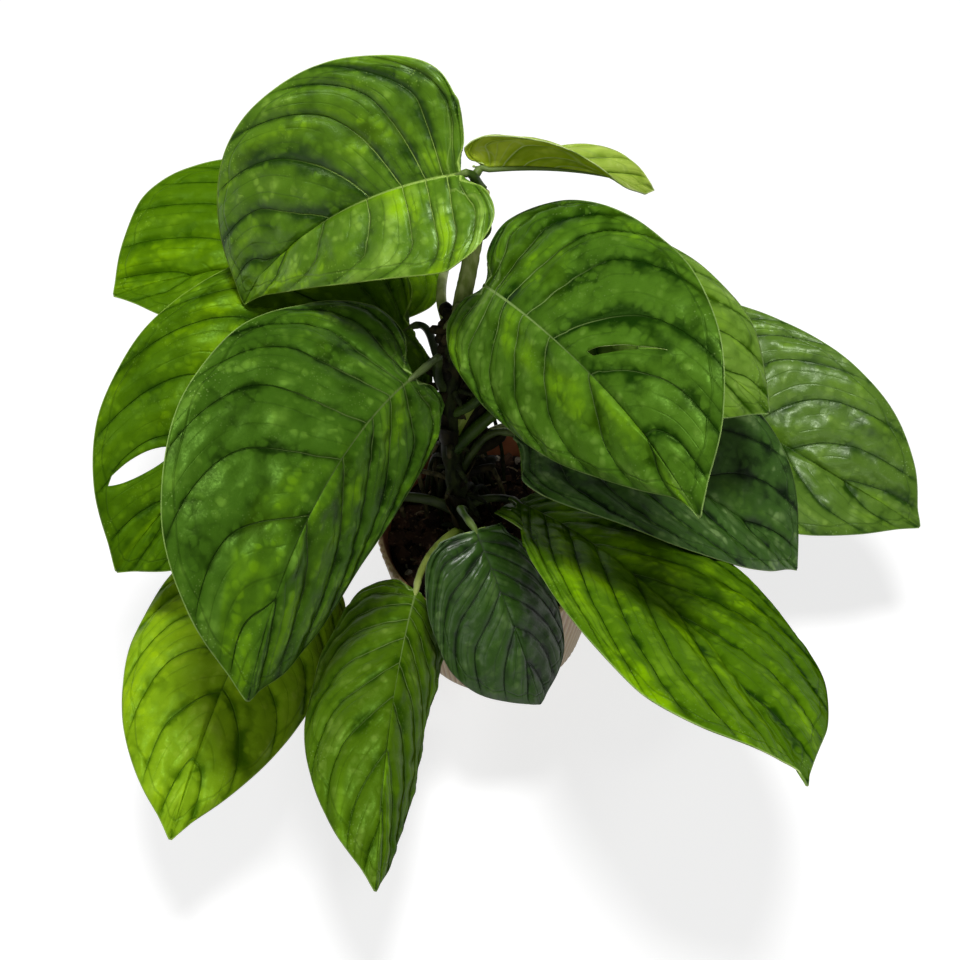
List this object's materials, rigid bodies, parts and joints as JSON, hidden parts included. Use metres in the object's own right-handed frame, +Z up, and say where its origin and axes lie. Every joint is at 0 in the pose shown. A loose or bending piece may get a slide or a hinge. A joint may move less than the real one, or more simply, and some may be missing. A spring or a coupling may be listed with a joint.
{
  "type": "potted monstera",
  "caption": "Climbing aroid with broad heart-shaped leaves on arching petioles, rooted in bark mix in a ribbed tapered pot that stands on its flat base.",
  "frame": {"origin": "middle of the pot's flat underside", "axes": "+Z up along the pot's axis; -Y is the side that the plant shows in front"},
  "size_m": [0.4042, 0.3342, 0.3163],
  "materials": {
    "pot": "satin cream glaze over fine vertical ribs, unglazed red-brown inside",
    "potting_mix": "damp bark, fibre and perlite",
    "stem": "rough green-brown stem skin with nodes",
    "aerial_root": "dry corky root",
    "petiole": "satin green, grooved",
    "leaf": "quilted semi-gloss mid green leaf",
    "light_leaf": "quilted semi-gloss leaf, yellow-green between the veins",
    "dark_leaf": "glossy blue-green leaf",
    "young_leaf": "pale lime young leaf"
  },
  "bodies": {
    "root": {"pot": "pot", "potting_mix": "potting_mix", "main_stem": "stem", "aerial_root_1": "aerial_root", "aerial_root_2": "aerial_root", "aerial_root_3": "aerial_root", "aerial_root_4": "aerial_root", "aerial_root_5": "aerial_root", "leaf_01_blade": "light_leaf", "leaf_01_petiole": "petiole", "leaf_02_blade": "young_leaf", "leaf_02_petiole": "petiole", "leaf_03_blade": "light_leaf", "leaf_03_petiole": "petiole", "leaf_04_blade": "light_leaf", "leaf_04_petiole": "petiole", "leaf_05_blade": "leaf", "leaf_05_petiole": "petiole", "leaf_06_blade": "light_leaf", "leaf_06_petiole": "petiole", "leaf_07_blade": "leaf", "leaf_07_petiole": "petiole", "leaf_08_blade": "dark_leaf", "leaf_08_petiole": "petiole", "leaf_09_blade": "leaf", "leaf_09_petiole": "petiole", "leaf_10_blade": "dark_leaf", "leaf_10_petiole": "petiole", "leaf_11_blade": "leaf", "leaf_11_petiole": "petiole", "leaf_12_blade": "leaf", "leaf_12_petiole": "petiole", "leaf_13_blade": "light_leaf", "leaf_13_petiole": "petiole"}
  },
  "joints": []
}
